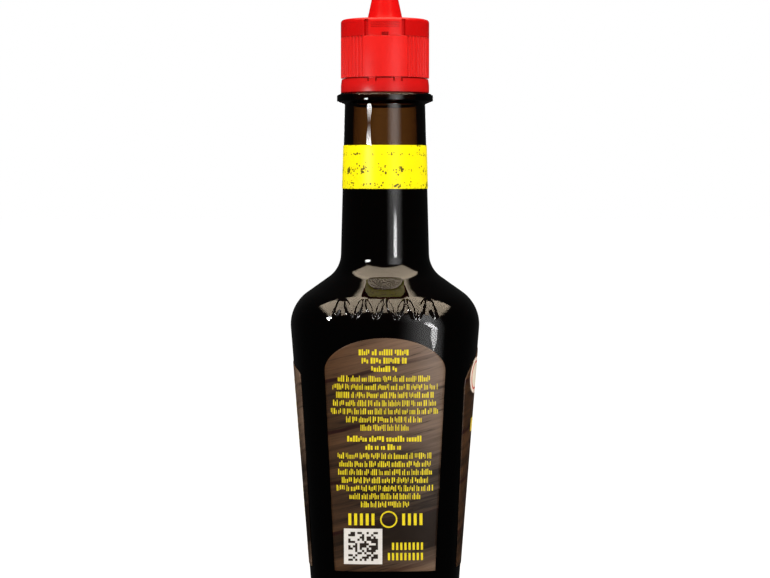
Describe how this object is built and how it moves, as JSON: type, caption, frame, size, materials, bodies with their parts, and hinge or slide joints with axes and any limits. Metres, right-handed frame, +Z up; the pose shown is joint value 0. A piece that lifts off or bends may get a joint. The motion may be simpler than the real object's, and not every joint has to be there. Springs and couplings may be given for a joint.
{
  "type": "liquid seasoning bottle",
  "caption": "Table bottle of dark liquid seasoning: rounded-square tapering amber glass, long round neck, ribbed red closure with pointed nozzle cover, arched labels and a yellow neck band.",
  "frame": {"origin": "centre of the base, at the plane the bottle stands on", "axes": "+Z up along the bottle's axis to the nozzle's tip, +X out of the side with the main label, -Y out of the side with the small-print label, where the cap's front tab also points"},
  "size_m": [0.0468, 0.047, 0.1577],
  "materials": {
    "amber_glass": "clear, glossy",
    "sauce": "dark brown liquid, near black in bulk",
    "red_plastic": "moulded, satin on the ribbed skirt",
    "lid_plastic": "moulded, glossy",
    "yellow_film": "printed film with dark specks",
    "label_film": "printed with dark planks and yellow lines"
  },
  "bodies": {
    "root": {"bottle": "amber_glass", "sauce": "sauce", "closure": "red_plastic", "lid": "lid_plastic", "neck_band": "yellow_film", "label_main": "label_film", "label_rear": "label_film", "label_side_a": "label_film", "label_side_b": "label_film"}
  },
  "joints": []
}
